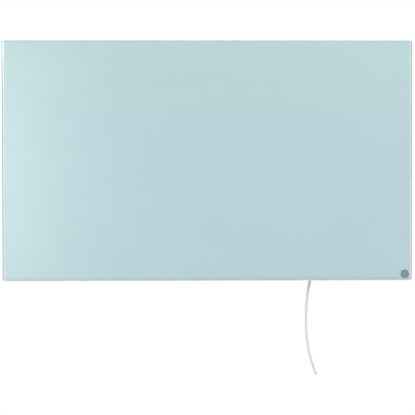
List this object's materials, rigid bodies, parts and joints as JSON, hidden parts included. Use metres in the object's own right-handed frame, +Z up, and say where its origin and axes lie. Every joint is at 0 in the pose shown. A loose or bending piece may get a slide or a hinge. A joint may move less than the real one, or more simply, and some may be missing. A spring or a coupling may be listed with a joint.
{
  "type": "infrared panel heater",
  "caption": "Frameless wall-hung infrared panel heater: a pale aqua glass pane on a shallow steel tray that lifts off its wall rails, with a corner disc and a short white supply cord.",
  "frame": {"origin": "centre of the upper wall rail's back face, which lies on the wall", "axes": "+X to the right as seen from the front, +Y into the wall, +Z up; the glass faces -Y"},
  "size_m": [1, 0.0583, 0.8232],
  "materials": {
    "clear_glass": "polished float glass with a smoothed edge",
    "aqua_backing": "pale aqua lacquer seen through the glass",
    "badge_metal": "turned face with a polished rim",
    "silicone": "matte translucent grey",
    "white_steel": "fine-textured powder coat",
    "heating_film": "carbon print in amber film",
    "copper": "bare copper",
    "foil": "bright, slightly creased",
    "board": "matte pressed mineral fibre",
    "dark_moulding": "moulded phenolic",
    "zinc_steel": "zinc plate with a fine spangle",
    "white_moulding": "fine spark-eroded texture",
    "cream_moulding": "moulded polyamide",
    "white_rubber": "soft matte",
    "cord_sheath": "satin white sheath",
    "brown_insulation": "satin",
    "blue_insulation": "satin",
    "green_insulation": "satin, green with a yellow stripe"
  },
  "bodies": {
    "wall_bracket": {"wall_rail_upper": "zinc_steel", "wall_rail_lower": "zinc_steel"},
    "heater": {"glass_pane": "clear_glass", "backing_film": "aqua_backing", "badge_disc": "badge_metal", "bond_seal": "silicone", "back_tray": "white_steel", "heating_film": "heating_film", "busbar_left": "copper", "busbar_right": "copper", "reflector_foil": "foil", "insulation_board": "board", "thermal_cutout_left": "dark_moulding", "thermal_cutout_right": "dark_moulding", "hanger_upper_left": "zinc_steel", "hanger_upper_right": "zinc_steel", "hanger_lower_left": "zinc_steel", "hanger_lower_right": "zinc_steel", "hanger_screw_upper_left_a": "zinc_steel", "hanger_screw_upper_left_b": "zinc_steel", "hanger_screw_upper_right_a": "zinc_steel", "hanger_screw_upper_right_b": "zinc_steel", "hanger_screw_lower_left_a": "zinc_steel", "hanger_screw_lower_left_b": "zinc_steel", "hanger_screw_lower_right_a": "zinc_steel", "hanger_screw_lower_right_b": "zinc_steel", "terminal_box_base": "white_moulding", "terminal_box_lid": "white_moulding", "lid_screw_1": "zinc_steel", "lid_screw_2": "zinc_steel", "box_rivet_1": "zinc_steel", "box_rivet_2": "zinc_steel", "terminal_block": "cream_moulding", "terminal_screw_earth": "zinc_steel", "terminal_screw_live": "zinc_steel", "terminal_screw_neutral": "zinc_steel", "cord_clamp": "white_moulding", "clamp_screw_1": "zinc_steel", "clamp_screw_2": "zinc_steel", "earth_stud": "zinc_steel", "earth_nut": "zinc_steel", "ring_terminal": "copper", "lead_live": "brown_insulation", "lead_link": "brown_insulation", "lead_return": "brown_insulation", "lead_neutral": "blue_insulation", "lead_earth": "green_insulation", "cable_gland": "white_moulding", "strain_relief": "white_rubber", "cord_inner_end": "cord_sheath", "inner_core_earth": "green_insulation", "inner_core_live": "brown_insulation", "inner_core_neutral": "blue_insulation", "cord": "cord_sheath", "core_end_earth": "green_insulation", "core_end_live": "brown_insulation", "core_end_neutral": "blue_insulation", "copper_end_earth": "copper", "copper_end_live": "copper", "copper_end_neutral": "copper"}
  },
  "joints": [
    {"name": "panel_lift", "type": "slide", "parent": "wall_bracket", "child": "heater", "axis": [0, 0, 1], "range_m": [0, 0.012]}
  ]
}
